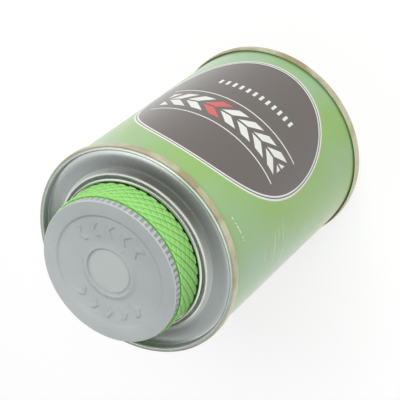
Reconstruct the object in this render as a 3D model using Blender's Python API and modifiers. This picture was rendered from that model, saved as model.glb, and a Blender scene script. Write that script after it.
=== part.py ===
"""Brush-in-cap cement tin: a seamed tinplate can with a screw neck, a banded cap and a hanging brush.

The tin stands on the XY plane with its axis on +Z. Every piece is turned about that axis, so each
moving piece has its origin on the axis that its joints use. The model is in metres.
"""
import bpy
import bmesh
from math import cos, pi, radians, sin

MM = 0.001

# Driving dimensions, in millimetres
SEAM_RADIUS = 35.0          # outside of both double seams
BODY_RADIUS = 34.2          # outside of the can's wall
CAN_HEIGHT = 86.6           # underside of the bottom seam to the top of the top seam
SEAM_HEIGHT = 3.0           # height of each double seam
COUNTERSINK = 3.7           # depth of the bottom panel below its seam edge
PANEL_DEPTH = 2.9           # depth of the top panel's edge below its seam edge
SHEET = 0.4                 # thickness of the pressed ends
BODY_SHEET = 0.35           # thickness of the can's wall
CLEARANCE = 0.3             # gap between pieces that touch
SHOULDER_FOOT = 32.6        # radius where the shoulder starts to rise from the top panel
SHOULDER_CREST = 25.3       # radius where the shoulder turns level under the neck's lip
SHOULDER_TOP = 87.0         # upper face of the shoulder
LIP_RADIUS = 25.2           # outside of the lip at the foot of the neck
LIP_TOP = 89.2              # upper edge of the lip
NECK_ROOT_RADIUS = 20.0     # neck wall between the threads
NECK_BORE_RADIUS = 19.5     # inside of the neck
NECK_TOP = 97.8             # rim that the liner seals on
CRIMP_THROAT = 0.9          # neck wall to the bottom of the groove that grips the shoulder's edge
CRIMP_FLANGE = 2.6          # neck wall to the edge of the crimped flange
THREAD_PITCH = 4.0          # rise of the thread in one turn
THREAD_TURNS = 1.5          # length of the thread
THREAD_FOOT = 89.9          # lower end of both threads
THREAD_DEPTH = 0.7          # height of the cap's thread above its wall
THREAD_CREST_GAP = 0.25     # radial gap between the two thread crests
BEAD_RADIUS = 0.6           # half width of the rolled thread
SEAL_HEIGHT = 0.5           # thickness of the sealing rings and of the liner
CAP_TOP = 100.6             # highest face of the cap
CAP_RADIUS = 23.4           # wall of the cap above the band
CAP_FOOT = 88.9             # lower edge of the cap's skirt and of the band
CAP_BORE_RADIUS = 21.9      # inside of the skirt between the threads
CAP_SHEET = 1.0             # thickness of the cap's face
FIELD_DEPTH = 0.7           # depth of the sunk field in the cap's face
BAND_RADIUS = 24.1          # outside of the band round the skirt
BAND_TOP = 97.9             # upper edge of the band
BAND_SEAT_RADIUS = 22.9     # outside of the skirt under the band
STEP_RADIUS = 18.8          # edge of the sunk field in the cap's face
BOSS_RADIUS = 9.6           # foot of the raised ring in the middle of the cap's face
FILL_TOP = 74.6             # surface of about 250 ml, with the well for the brush
SOCKET_FLANGE_RADIUS = 7.0  # flange that holds the brush under the cap's face
SOCKET_RADIUS = 3.0         # outside of the socket that grips the stem
SOCKET_LENGTH = 8.0         # flange face to the socket's mouth
BRUSH_BOTTOM = 9.0          # tip of the bristles above the ground
BRISTLE_LENGTH = 22.0       # tip of the bristles to the ferrule
BRISTLE_ROOT = 9.4          # length of the bristles inside the ferrule
BRISTLE_RADIUS = 6.4        # widest part of the bristle tuft
FERRULE_RADIUS = 5.8        # outside of the ferrule
FERRULE_LENGTH = 18.0       # mouth to the end of its crimped throat
FERRULE_THROAT = 3.0        # straight part that grips the stem
FERRULE_TAPER = 5.0         # cone between the throat and the tube
STEM_RADIUS = 1.5           # wire stem of the brush
SIDE_SEAM_ANGLE = radians(106.0)   # welded side seam, opposite the label

# Fineness of the round pieces
ROUND_STEPS = 40
BRUSH_STEPS = 32
STEM_STEPS = 16
HELIX_STEPS = 24


def clear_scene():
    """Remove every object that is in the scene."""
    for obj in list(bpy.data.objects):
        bpy.data.objects.remove(obj, do_unlink=True)


def new_collection(name):
    """Add a collection to the scene."""
    collection = bpy.data.collections.new(name)
    bpy.context.scene.collection.children.link(collection)
    return collection


def linear(hex_colour):
    """Turn an sRGB hex colour into linear values with full alpha."""
    values = []
    for place in (1, 3, 5):
        value = int(hex_colour[place:place + 2], 16) / 255.0
        values.append(value / 12.92 if value <= 0.04045 else ((value + 0.055) / 1.055) ** 2.4)
    return (*values, 1.0)


def new_material(name, hex_colour, roughness, metallic):
    """Make a plain Principled material."""
    material = bpy.data.materials.new(name)
    material.use_nodes = True
    shader = material.node_tree.nodes["Principled BSDF"]
    shader.inputs["Base Color"].default_value = linear(hex_colour)
    shader.inputs["Roughness"].default_value = roughness
    shader.inputs["Metallic"].default_value = metallic
    material.diffuse_color = linear(hex_colour)
    return material


def arc(centre_r, centre_z, radius, start_deg, end_deg, count):
    """Points of an arc in the (radius, height) plane, in millimetres."""
    points = []
    for index in range(count + 1):
        angle = radians(start_deg + (end_deg - start_deg) * index / count)
        points.append((centre_r + radius * cos(angle), centre_z + radius * sin(angle)))
    return points


def profile_object(name, points, closed, material, collection):
    """Make an object whose mesh is one outline at +X, from (radius, height) points in millimetres."""
    mesh = bpy.data.meshes.new(name)
    shape = bmesh.new()
    corners = [shape.verts.new((r * MM, 0.0, z * MM)) for r, z in points]
    for first, second in zip(corners, corners[1:]):
        shape.edges.new((first, second))
    if closed:
        shape.edges.new((corners[-1], corners[0]))
    shape.to_mesh(mesh)
    shape.free()
    obj = bpy.data.objects.new(name, mesh)
    obj.data.materials.append(material)
    collection.objects.link(obj)
    return obj


def add_screw(obj, steps):
    """Turn an outline once round the Z axis."""
    screw = obj.modifiers.new("turn", "SCREW")
    screw.axis = "Z"
    screw.angle = 2.0 * pi
    screw.steps = steps
    screw.render_steps = steps
    screw.use_merge_vertices = True
    screw.merge_threshold = 0.00001
    screw.use_smooth_shade = True


def turned(name, points, material, collection, closed=True, steps=ROUND_STEPS):
    """A solid turned from an outline that runs down its outer side and up its inner side."""
    obj = profile_object(name, points, closed, material, collection)
    add_screw(obj, steps)
    return obj


def pressed(name, centre_line, material, collection):
    """A sheet-metal pressing turned from the middle line of its sheet."""
    obj = profile_object(name, centre_line, False, material, collection)
    add_screw(obj, ROUND_STEPS)
    sheet = obj.modifiers.new("sheet", "SOLIDIFY")
    sheet.thickness = SHEET * MM
    sheet.offset = 0.0
    sheet.use_even_offset = True
    return obj


def ring(name, inner, outer, low, high, material, collection):
    """A plain ring of square section."""
    outline = [(outer, high), (outer, low), (inner, low), (inner, high)]
    return turned(name, outline, material, collection)


def join(obj, other):
    """Join a helper solid to an object."""
    union = obj.modifiers.new("join", "BOOLEAN")
    union.operation = "UNION"
    union.object = other


def make_helper(obj, collection):
    """Mark an object as a construction helper."""
    for holder in list(obj.users_collection):
        holder.objects.unlink(obj)
    collection.objects.link(obj)
    obj.hide_render = True
    obj.display_type = "WIRE"


def thread_bead(name, radius, start_angle, helpers):
    """A helical bead with tapered ends, as a closed mesh for joining to a wall."""
    end_size = 0.45
    taper_rate = 6.0
    count = int(THREAD_TURNS * HELIX_STEPS)
    curve = bpy.data.curves.new(name, "CURVE")
    curve.dimensions = "3D"
    curve.bevel_depth = BEAD_RADIUS * MM
    curve.bevel_resolution = 1
    curve.use_fill_caps = True
    spline = curve.splines.new("POLY")
    spline.points.add(count)
    for index, point in enumerate(spline.points):
        share = index / count
        angle = start_angle + 2.0 * pi * THREAD_TURNS * share
        height = THREAD_FOOT + THREAD_PITCH * THREAD_TURNS * share
        point.co = (radius * MM * cos(angle), radius * MM * sin(angle), height * MM, 1.0)
        point.radius = min(1.0, end_size + taper_rate * min(share, 1.0 - share))
    wire = bpy.data.objects.new(name + "_path", curve)
    helpers.objects.link(wire)
    bpy.context.view_layer.update()
    mesh = bpy.data.meshes.new_from_object(wire.evaluated_get(bpy.context.evaluated_depsgraph_get()))
    welded = bmesh.new()
    welded.from_mesh(mesh)
    bmesh.ops.remove_doubles(welded, verts=welded.verts, dist=0.000001)
    bmesh.ops.recalc_face_normals(welded, faces=welded.faces)
    welded.to_mesh(mesh)
    welded.free()
    bead = bpy.data.objects.new(name, mesh)
    bead.matrix_world = wire.matrix_world
    bpy.data.objects.remove(wire, do_unlink=True)
    helpers.objects.link(bead)
    make_helper(bead, helpers)
    return bead


def seam_line(edge, inward, depth):
    """Middle line of an end's seam hook: up its outer leg, over, and down its chuck wall.

    edge is the height of the seam's outer edge face, inward is +1 where the can lies above it, and
    depth is how far the chuck wall goes in.
    """
    half = SHEET / 2.0
    outer = SEAM_RADIUS - half
    wall = BODY_RADIUS - BODY_SHEET - CLEARANCE - half
    corner = 0.35
    foot_corner = 0.7
    return [
        (outer, edge + inward * SEAM_HEIGHT),
        (outer, edge + inward * (half + corner)),
        (outer - corner, edge + inward * half),
        (wall + corner, edge + inward * half),
        (wall, edge + inward * (half + corner)),
        (wall, edge + inward * (depth - foot_corner)),
        (wall - foot_corner, edge + inward * depth),
    ]


def make_can_body(material, parts, helpers):
    """Rolled wall of the can, with the raised lap of its welded side seam."""
    low = SHEET + 2.0 * CLEARANCE + SEAL_HEIGHT
    high = CAN_HEIGHT - low
    inner = BODY_RADIUS - BODY_SHEET
    body = ring("can_body", inner, BODY_RADIUS, low, high, material, parts)
    lap_end_gap = 1.0
    lap_low = SEAM_HEIGHT + lap_end_gap
    lap_high = CAN_HEIGHT - SEAM_HEIGHT - lap_end_gap
    lap_width = 4.0
    lap_depth = 0.5
    lap_sunk = 0.05
    bpy.ops.mesh.primitive_cube_add(size=1.0)
    lap = bpy.context.object
    lap.name = "side_seam_lap"
    lap.scale = (lap_depth * MM, lap_width * MM, (lap_high - lap_low) * MM)
    lap.rotation_euler = (0.0, 0.0, SIDE_SEAM_ANGLE)
    middle = BODY_RADIUS - lap_sunk
    lap.location = (
        middle * MM * cos(SIDE_SEAM_ANGLE),
        middle * MM * sin(SIDE_SEAM_ANGLE),
        (lap_low + lap_high) / 2.0 * MM,
    )
    make_helper(lap, helpers)
    join(body, lap)


def make_ends(material, parts):
    """Bottom end with a stiffening bead, and top end with the dished shoulder that carries the neck."""
    panel = COUNTERSINK
    bead_radius = 27.3
    bead_half_width = 0.9
    bead_slope = 0.8
    bead_depth = 0.6
    bottom = seam_line(0.0, 1.0, COUNTERSINK) + [
        (bead_radius + bead_half_width + bead_slope, panel),
        (bead_radius + bead_half_width, panel - bead_depth),
        (bead_radius - bead_half_width, panel - bead_depth),
        (bead_radius - bead_half_width - bead_slope, panel),
        (0.0, panel),
    ]
    pressed("bottom_end", bottom, material, parts)
    panel = CAN_HEIGHT - PANEL_DEPTH
    rise = SHOULDER_TOP - SHEET / 2.0 - panel
    sweep = SHOULDER_FOOT - SHOULDER_CREST
    slope_steps = 7
    top = seam_line(CAN_HEIGHT, -1.0, PANEL_DEPTH)
    for index in range(1, slope_steps + 1):
        share = index / slope_steps
        top.append((SHOULDER_FOOT - sweep * share, panel + rise * share ** 2))
    top.append((NECK_ROOT_RADIUS + CRIMP_THROAT + CLEARANCE, panel + rise))
    pressed("top_end", top, material, parts)


def make_seals(compound, parts):
    """Rings of sealing compound in both seams, and the ring under the foot of the neck."""
    inner = BODY_RADIUS - BODY_SHEET
    outer = BODY_RADIUS
    low = SHEET + CLEARANCE
    high = low + SEAL_HEIGHT
    ring("bottom_seam_compound", inner, outer, low, high, compound, parts)
    ring("top_seam_compound", inner, outer, CAN_HEIGHT - high, CAN_HEIGHT - low, compound, parts)
    inner = NECK_ROOT_RADIUS + CRIMP_THROAT + 2.0 * CLEARANCE
    outer = LIP_RADIUS - SHEET - CLEARANCE
    low = SHOULDER_TOP + CLEARANCE
    ring("neck_seal_ring", inner, outer, low, low + SEAL_HEIGHT, compound, parts)


def make_neck(material, parts, helpers):
    """Threaded neck, crimped through the shoulder, with the lip at its foot."""
    plate_low = SHOULDER_TOP + 2.0 * CLEARANCE + SEAL_HEIGHT
    plate_high = plate_low + SHEET
    crimp_high = SHOULDER_TOP - SHEET - CLEARANCE
    crimp_low = crimp_high - SHEET
    curl = 0.55
    curl_height = 1.3
    corner = 0.25
    outline = [
        (NECK_BORE_RADIUS + corner, NECK_TOP),
        (NECK_ROOT_RADIUS + curl - corner, NECK_TOP),
        (NECK_ROOT_RADIUS + curl, NECK_TOP - corner),
        (NECK_ROOT_RADIUS + curl, NECK_TOP - curl_height + curl),
        (NECK_ROOT_RADIUS, NECK_TOP - curl_height),
        (NECK_ROOT_RADIUS, plate_high + corner),
        (NECK_ROOT_RADIUS + corner, plate_high),
        (LIP_RADIUS - SHEET, plate_high),
        (LIP_RADIUS - SHEET, LIP_TOP),
        (LIP_RADIUS, LIP_TOP),
        (LIP_RADIUS, SHOULDER_TOP + CLEARANCE),
        (LIP_RADIUS - SHEET, SHOULDER_TOP + CLEARANCE),
        (LIP_RADIUS - SHEET, plate_low),
        (NECK_ROOT_RADIUS + CRIMP_THROAT, plate_low),
        (NECK_ROOT_RADIUS + CRIMP_THROAT, crimp_high),
        (NECK_ROOT_RADIUS + CRIMP_FLANGE, crimp_high),
        (NECK_ROOT_RADIUS + CRIMP_FLANGE, crimp_low),
        (NECK_BORE_RADIUS, crimp_low),
        (NECK_BORE_RADIUS, NECK_TOP - corner),
    ]
    neck = turned("threaded_neck", outline, material, parts)
    crest = CAP_BORE_RADIUS - THREAD_DEPTH - THREAD_CREST_GAP
    join(neck, thread_bead("neck_thread", crest - BEAD_RADIUS, 0.0, helpers))


def make_cap(material, parts, helpers):
    """Screw cap: sunk face with a raised ring, a small bead round its edge, threaded skirt."""
    floor = CAP_TOP - FIELD_DEPTH
    underside = floor - CAP_SHEET
    dish_depth = 0.4
    ring_width = 0.7
    ring_slope = 1.2
    slope = 0.6
    edge = 0.3
    ledge = BAND_TOP + edge
    outline = [
        (0.0, CAP_TOP - dish_depth),
        (BOSS_RADIUS - ring_slope - ring_width - edge, CAP_TOP - dish_depth),
        (BOSS_RADIUS - ring_slope - ring_width, CAP_TOP),
        (BOSS_RADIUS - ring_slope, CAP_TOP),
        (BOSS_RADIUS, floor),
        (STEP_RADIUS - slope, floor),
        (STEP_RADIUS, CAP_TOP),
        (CAP_RADIUS - edge, CAP_TOP),
        (CAP_RADIUS + edge, CAP_TOP - 2.0 * edge),
        (CAP_RADIUS, CAP_TOP - 3.0 * edge),
        (CAP_RADIUS, ledge + edge),
        (BAND_SEAT_RADIUS, ledge),
        (BAND_SEAT_RADIUS, CAP_FOOT),
        (CAP_BORE_RADIUS, CAP_FOOT),
        (CAP_BORE_RADIUS, underside - edge),
        (CAP_BORE_RADIUS - edge, underside),
        (0.0, underside),
    ]
    cap = turned("cap_shell", outline, material, parts, closed=False)
    crest = CAP_BORE_RADIUS - THREAD_DEPTH
    join(cap, thread_bead("cap_thread", crest + BEAD_RADIUS, pi, helpers))


def make_band(material, parts):
    """Band gripped round the cap's skirt."""
    inner = BAND_SEAT_RADIUS + CLEARANCE
    edge = 0.2
    outline = [
        (BAND_RADIUS - edge, BAND_TOP),
        (BAND_RADIUS, BAND_TOP - edge),
        (BAND_RADIUS, CAP_FOOT + edge),
        (BAND_RADIUS - edge, CAP_FOOT),
        (inner, CAP_FOOT),
        (inner, BAND_TOP),
    ]
    turned("grip_band", outline, material, parts)


def make_liner(material, parts):
    """Sealing liner between the neck's rim and the cap."""
    low = NECK_TOP + CLEARANCE
    inner = SOCKET_FLANGE_RADIUS + 3.0 * CLEARANCE
    outer = CAP_BORE_RADIUS - THREAD_DEPTH - CLEARANCE
    ring("cap_liner", inner, outer, low, low + SEAL_HEIGHT, material, parts)


def make_brush(materials, parts):
    """Brush that hangs from the cap: socket, wire stem, ferrule and bristle tuft."""
    bore = STEM_RADIUS + CLEARANCE
    flange = 0.7
    socket_top = CAP_TOP - FIELD_DEPTH - CAP_SHEET - CLEARANCE
    socket_end = socket_top - 2.0 * flange
    socket_foot = socket_top - SOCKET_LENGTH
    socket = [
        (0.0, socket_top),
        (SOCKET_FLANGE_RADIUS, socket_top),
        (SOCKET_FLANGE_RADIUS, socket_top - flange),
        (SOCKET_RADIUS + flange, socket_top - flange),
        (SOCKET_RADIUS, socket_top - 2.0 * flange),
        (SOCKET_RADIUS, socket_foot),
        (bore, socket_foot),
        (bore, socket_end),
        (0.0, socket_end),
    ]
    turned("brush_socket", socket, materials["socket"], parts, closed=False, steps=BRUSH_STEPS)

    ferrule_foot = BRUSH_BOTTOM + BRISTLE_LENGTH
    ferrule_top = ferrule_foot + FERRULE_LENGTH
    tuft_top = ferrule_foot + BRISTLE_ROOT
    stem_top = socket_end - CLEARANCE
    stem_foot = tuft_top + CLEARANCE
    chamfer = 0.3
    stem = [
        (0.0, stem_top),
        (STEM_RADIUS - chamfer, stem_top),
        (STEM_RADIUS, stem_top - chamfer),
        (STEM_RADIUS, stem_foot + chamfer),
        (STEM_RADIUS - chamfer, stem_foot),
        (0.0, stem_foot),
    ]
    turned("brush_stem", stem, materials["stem"], parts, closed=False, steps=STEM_STEPS)

    throat = ferrule_top - FERRULE_THROAT
    shoulder = throat - FERRULE_TAPER
    ferrule = [
        (bore + SHEET, ferrule_top),
        (bore + SHEET, throat),
        (FERRULE_RADIUS, shoulder),
        (FERRULE_RADIUS, ferrule_foot),
        (FERRULE_RADIUS - SHEET, ferrule_foot),
        (FERRULE_RADIUS - SHEET, shoulder),
        (bore, throat),
        (bore, ferrule_top),
    ]
    turned("brush_ferrule", ferrule, materials["ferrule"], parts, steps=BRUSH_STEPS)

    inside = FERRULE_RADIUS - SHEET - CLEARANCE
    crown = 3.0
    shoulder_cut = 1.0
    tuft = [
        (0.0, tuft_top),
        (inside - shoulder_cut, tuft_top),
        (inside, tuft_top - shoulder_cut),
        (inside, ferrule_foot - CLEARANCE),
        (BRISTLE_RADIUS, BRUSH_BOTTOM + 2.0 * crown),
    ]
    tuft += arc(BRISTLE_RADIUS - crown, BRUSH_BOTTOM + crown, crown, 0.0, -90.0, 3)
    tuft.append((0.0, BRUSH_BOTTOM))
    turned("brush_bristles", tuft, materials["bristles"], parts, closed=False, steps=BRUSH_STEPS)


def make_cement(material, parts):
    """Cement in the can, with the room that the brush takes up in it."""
    outer = BODY_RADIUS - BODY_SHEET - CLEARANCE
    low = COUNTERSINK + SHEET / 2.0 + CLEARANCE
    edge = 0.6
    well_gap = 0.8
    well_radius = BRISTLE_RADIUS + well_gap
    well_floor = BRUSH_BOTTOM - 2.0 * well_gap
    outline = [
        (0.0, well_floor),
        (well_radius, well_floor),
        (well_radius, FILL_TOP),
        (outer, FILL_TOP),
        (outer, low + edge),
        (outer - edge, low),
        (0.0, low),
    ]
    turned("cement_fill", outline, material, parts, closed=False)


def main():
    """Build the whole tin."""
    clear_scene()
    parts = new_collection("cement_tin")
    helpers = new_collection("construction_helpers")
    print_green = new_material("printed_tinplate", "#A0C878", 0.35, 0.3)
    tinplate = new_material("tinplate", "#A8ADAD", 0.35, 0.9)
    compound = new_material("sealing_compound", "#6F6A60", 0.7, 0.0)
    neck_plate = new_material("neck_tinplate", "#B4B6B2", 0.3, 0.9)
    cap_grey = new_material("grey_cap", "#ACB1B4", 0.45, 0.0)
    band_green = new_material("green_band", "#8AD468", 0.4, 0.0)
    liner = new_material("liner_board", "#E4DECF", 0.8, 0.0)
    cement = new_material("rubber_cement", "#D8C48A", 0.2, 0.0)
    brush = {
        "socket": new_material("socket_steel", "#B9BBBB", 0.3, 1.0),
        "stem": new_material("stem_wire", "#A9ACAE", 0.3, 1.0),
        "ferrule": new_material("ferrule_tin", "#BFC2C2", 0.3, 1.0),
        "bristles": new_material("bristle", "#2E2A26", 0.6, 0.0),
    }
    make_can_body(print_green, parts, helpers)
    make_ends(tinplate, parts)
    make_seals(compound, parts)
    make_neck(neck_plate, parts, helpers)
    make_cap(cap_grey, parts, helpers)
    make_band(band_green, parts)
    make_liner(liner, parts)
    make_brush(brush, parts)
    make_cement(cement, parts)


main()
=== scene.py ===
"""Finished looks of a brush-in-cap cement tin, modelled round its construction frame.

Most pieces are turned about the tin's own axis, which is +Z through the origin. Sizes are in metres.
"""

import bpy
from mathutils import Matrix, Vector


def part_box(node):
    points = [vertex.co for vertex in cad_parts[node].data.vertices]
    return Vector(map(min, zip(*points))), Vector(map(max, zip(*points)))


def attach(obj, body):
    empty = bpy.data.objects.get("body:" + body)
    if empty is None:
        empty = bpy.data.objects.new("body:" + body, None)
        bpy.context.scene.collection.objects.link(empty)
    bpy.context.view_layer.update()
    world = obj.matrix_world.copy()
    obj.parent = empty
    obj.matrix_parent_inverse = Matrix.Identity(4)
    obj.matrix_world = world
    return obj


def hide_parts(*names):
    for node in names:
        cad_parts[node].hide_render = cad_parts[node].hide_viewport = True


bl_info = {
    "name": "Cement Tin",
    "version": (1, 0, 0),
    "blender": (4, 5, 0),
    "location": "View3D > Sidebar > Cement Tin",
    "description": "Models and finishes the pieces of a cement tin with a brush in its cap",
    "category": "Object",
}

import random
from math import atan2, cos, hypot, pi, radians, sin, sqrt

import bmesh
import bpy
from bpy.props import FloatProperty, FloatVectorProperty, IntProperty, PointerProperty
from mathutils import Matrix, Vector

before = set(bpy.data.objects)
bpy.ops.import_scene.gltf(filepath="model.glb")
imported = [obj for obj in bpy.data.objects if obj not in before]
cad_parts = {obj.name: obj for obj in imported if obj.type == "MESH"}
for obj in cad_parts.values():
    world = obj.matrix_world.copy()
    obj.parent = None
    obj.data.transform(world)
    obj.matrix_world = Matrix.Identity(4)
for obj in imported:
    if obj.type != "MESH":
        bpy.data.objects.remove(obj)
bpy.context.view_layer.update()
MM = 0.001

# Corners of the frame's nodes that the pieces are fitted to
WALL_LOW, WALL_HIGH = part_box("can_body")
END_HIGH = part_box("top_end")[1]
NECK_LOW, NECK_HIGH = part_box("threaded_neck")
CAP_LOW, CAP_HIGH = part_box("cap_shell")
BAND_LOW, BAND_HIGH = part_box("grip_band")
LINER_LOW, LINER_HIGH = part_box("cap_liner")
SOCKET_LOW, SOCKET_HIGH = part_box("brush_socket")
STEM_LOW, STEM_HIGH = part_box("brush_stem")
FERRULE_LOW, FERRULE_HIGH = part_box("brush_ferrule")
TUFT_LOW, TUFT_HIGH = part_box("brush_bristles")
POOL_LOW, POOL_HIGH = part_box("cement_fill")

# Fineness of the turned pieces
WALL_STEPS = 192
CAP_STEPS_PER_RIB = 6
BAND_STEPS = 600
SMALL_STEPS = 64
ROUNDING_STEPS = 5
MERGE_DISTANCE = 0.001 * MM

# Kinds of shader node
COORD = "ShaderNodeTexCoord"
XYZ = "ShaderNodeSeparateXYZ"
JOIN_XYZ = "ShaderNodeCombineXYZ"
MATH = "ShaderNodeMath"
VECTOR = "ShaderNodeVectorMath"
RANGE = "ShaderNodeMapRange"
MIX = "ShaderNodeMix"
NOISE = "ShaderNodeTexNoise"
MAPPING = "ShaderNodeMapping"
ATTRIBUTE = "ShaderNodeAttribute"
BUMP = "ShaderNodeBump"
PATH = "ShaderNodeLightPath"
DIFFUSE = "ShaderNodeBsdfDiffuse"
EMISSION = "ShaderNodeEmission"
ADD_SHADER = "ShaderNodeAddShader"
MIX_SHADER = "ShaderNodeMixShader"
PRINCIPLED = "ShaderNodeBsdfPrincipled"
OUTPUT = "ShaderNodeOutputMaterial"
BACKGROUND = "ShaderNodeBackground"
WORLD_OUTPUT = "ShaderNodeOutputWorld"


def linear(hex_colour):
    """Turn an sRGB hex colour into linear values with full alpha."""
    values = []
    for place in (1, 3, 5):
        value = int(hex_colour[place:place + 2], 16) / 255.0
        values.append(value / 12.92 if value <= 0.04045 else ((value + 0.055) / 1.055) ** 2.4)
    return (*values, 1.0)


def length(name, description, default):
    """A size that a user may change, in metres."""
    return FloatProperty(
        name=name, description=description, default=default, min=0.0, precision=5, unit="LENGTH"
    )


def paint(name, description, hex_colour):
    """A colour that a user may change."""
    return FloatVectorProperty(
        name=name, description=description, default=linear(hex_colour),
        size=4, min=0.0, max=1.0, subtype="COLOR",
    )


def turn_angle(name, description, degrees):
    """An angle that a user may change."""
    return FloatProperty(
        name=name, description=description, default=radians(degrees), subtype="ANGLE", unit="ROTATION"
    )


class TinSizes(bpy.types.PropertyGroup):
    """Sizes of the tin's pieces."""

    wall_radius: length("Wall radius", "Outside of the can's wall", WALL_HIGH.x)
    wall_sheet: length("Wall sheet", "Thickness of the can's wall", 0.35 * MM)
    seam_radius: length("Seam radius", "Outside of both double seams", END_HIGH.x)
    seam_height: length("Seam height", "Height of each double seam", 3.0 * MM)
    rim_height: length("Rim height", "Top of the upper seam above the ground", 86.6 * MM)
    chuck_radius: length("Chuck radius", "Middle of the sheet at the seam's inner wall", 33.5 * MM)
    countersink: length("Countersink", "Depth of the lower panel below the seam edge", 3.7 * MM)
    panel_depth: length("Panel depth", "Depth of the upper panel's edge below the seam edge", 2.5 * MM)
    end_sheet: length("End sheet", "Thickness of the pressed ends", 0.4 * MM)
    shoulder_foot: length("Shoulder foot", "Radius where the shoulder starts to rise", 32.6 * MM)
    shoulder_crest: length("Shoulder crest", "Radius where the shoulder turns level", 25.3 * MM)
    flare_radius: length("Flare radius", "Outside of the neck's flared foot", 27.35 * MM)
    shoulder_top: length("Shoulder top", "Upper face of the shoulder", END_HIGH.z)
    collar_hole: length("Collar hole", "Radius of the hole that the neck is crimped in", 21.2 * MM)
    lip_radius: length("Lip radius", "Outside of the lip at the foot of the neck", NECK_HIGH.x)
    lip_top: length("Lip top", "Upper edge of the lip", 89.2 * MM)
    neck_radius: length("Neck radius", "Neck wall between the threads", 20.0 * MM)
    neck_bore: length("Neck bore", "Inside of the neck", 19.5 * MM)
    thread_foot: length("Thread foot", "Lower end of both threads", 89.9 * MM)
    thread_pitch: length("Thread pitch", "Rise of the thread in one turn", 4.0 * MM)
    thread_width: length("Thread width", "Half the width of the rolled thread", 1.1 * MM)
    neck_thread: length("Neck thread", "Height of the neck's thread", 0.95 * MM)
    cap_thread: length("Cap thread", "Height of the cap's thread", 0.7 * MM)
    cap_radius: length("Cap radius", "Crests of the ribs on the cap's edge", 23.5 * MM)
    cap_bore: length("Cap bore", "Inside of the cap's skirt", 21.9 * MM)
    cap_seat: length("Cap seat", "Outside of the skirt under the band", 22.9 * MM)
    cap_sheet: length("Cap sheet", "Thickness of the cap's face", 1.0 * MM)
    field_depth: length("Field depth", "Depth of the sunk field in the cap's face", 0.7 * MM)
    step_radius: length("Step radius", "Edge of the sunk field", 18.8 * MM)
    boss_radius: length("Boss radius", "Foot of the raised ring in the cap's face", 9.6 * MM)
    emboss: length("Emboss", "Height of the chevrons in the cap's face", 0.62 * MM)
    rib_count: IntProperty(name="Ribs", description="Ribs round the cap's edge", default=74, min=12)
    rib_depth: length("Rib depth", "Depth of the grooves between the ribs", 0.38 * MM)
    band_relief: length("Band relief", "Depth of the band's knurled relief", 0.4 * MM)
    band_ridges: IntProperty(name="Ridges", description="Slanted ridges round the band", default=40, min=8)


class TinPrint(bpy.types.PropertyGroup):
    """Place and size of the print on the can's wall."""

    panel_angle: turn_angle("Panel angle", "Direction that the round panel faces", -66.5)
    panel_height: length("Panel height", "Middle of the round panel above the ground", 42.0 * MM)
    panel_radius: length("Panel radius", "Outer edge of the panel's white border", 33.3 * MM)
    seam_angle: turn_angle("Side seam angle", "Direction of the welded side seam", 106.0)
    bare_margin: length("Bare margin", "Half width of the unprinted stripe at the side seam", 4.2 * MM)


class TinColours(bpy.types.PropertyGroup):
    """Colours of the tin's finishes."""

    wall_green: paint("Wall green", "Ink of the can's wall", "#94C060")
    wall_mint: paint("Wall mint", "Cooler patches of the wall's ink", "#9CC398")
    panel_dark: paint("Panel dark", "Ink of the round panel", "#5E544F")
    print_white: paint("Print white", "Ink of the borders and the tread strip", "#F2F2EE")
    print_red: paint("Print red", "Ink of the marked tread block", "#E2514A")
    tin: paint("Tin", "Bare tinplate of the ends", "#C3C8C6")
    seam_lacquer: paint("Seam lacquer", "Gold lacquer on the outside of the seams", "#CBC8AB")
    lacquer_dark: paint("Dark lacquer", "Thicker patches of the lacquer", "#AAA07B")
    neck_tin: paint("Neck tin", "Tinplate of the neck", "#E2E4E0")
    cap_grey: paint("Cap grey", "Enamel of the cap", "#B3B9BA")
    # The paler enamel is a painted highlight on the crests of the ribs, and also makes the face paler
    # towards its middle
    cap_pale_highlight: paint("Worn cap", "Enamel rubbed pale on the crests of the ribs", "#CBD0CE")
    # The band's two greens are painted light and shade: the lighter one on the ridges, the darker one in the
    # grooves
    band_green: paint("Band green", "Ridges of the band", "#A6E985")
    band_shade: paint("Band shade", "Grooves of the band", "#6CB34D")
    compound: paint("Compound", "Sealing compound", "#6F6A60")
    board: paint("Board", "Pulpboard of the liner", "#E4DECF")
    steel: paint("Steel", "Zinc-plated steel of the brush", "#BFC1C0")
    bristle_dark: paint("Bristle dark", "Roots of the bristles", "#2A2522")
    bristle_tip: paint("Bristle tip", "Tips of the bristles, pale with dry cement", "#6E5A3C")
    cement: paint("Cement", "Rubber cement", "#C99A45")


class TinStage(bpy.types.PropertyGroup):
    """Camera, floor and light."""

    lens: FloatProperty(
        name="Lens", description="Focal length on a 36 mm sensor", default=135.97, min=1.0, unit="CAMERA"
    )
    distance: length("Distance", "Camera to the aim point", 0.4884)
    elevation: turn_angle("Elevation", "Camera above the horizon", 49.13)
    roll: turn_angle("Roll", "Turn of the picture about the line of sight", -129.52)
    aim_height: length("Aim height", "Aim point above the ground", 47.5 * MM)
    lamp_power: FloatProperty(
        name="Lamp power", description="Softbox in front of the tin", default=8.4, min=0.0, unit="POWER"
    )
    floor_white: paint("Floor", "Pale floor", "#F4F4F4")


# Modelling, as by hand

def clear_selection():
    """Leave edit mode and deselect everything."""
    if bpy.context.object and bpy.context.object.mode != "OBJECT":
        bpy.ops.object.mode_set(mode="OBJECT")
    bpy.ops.object.select_all(action="DESELECT")


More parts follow.
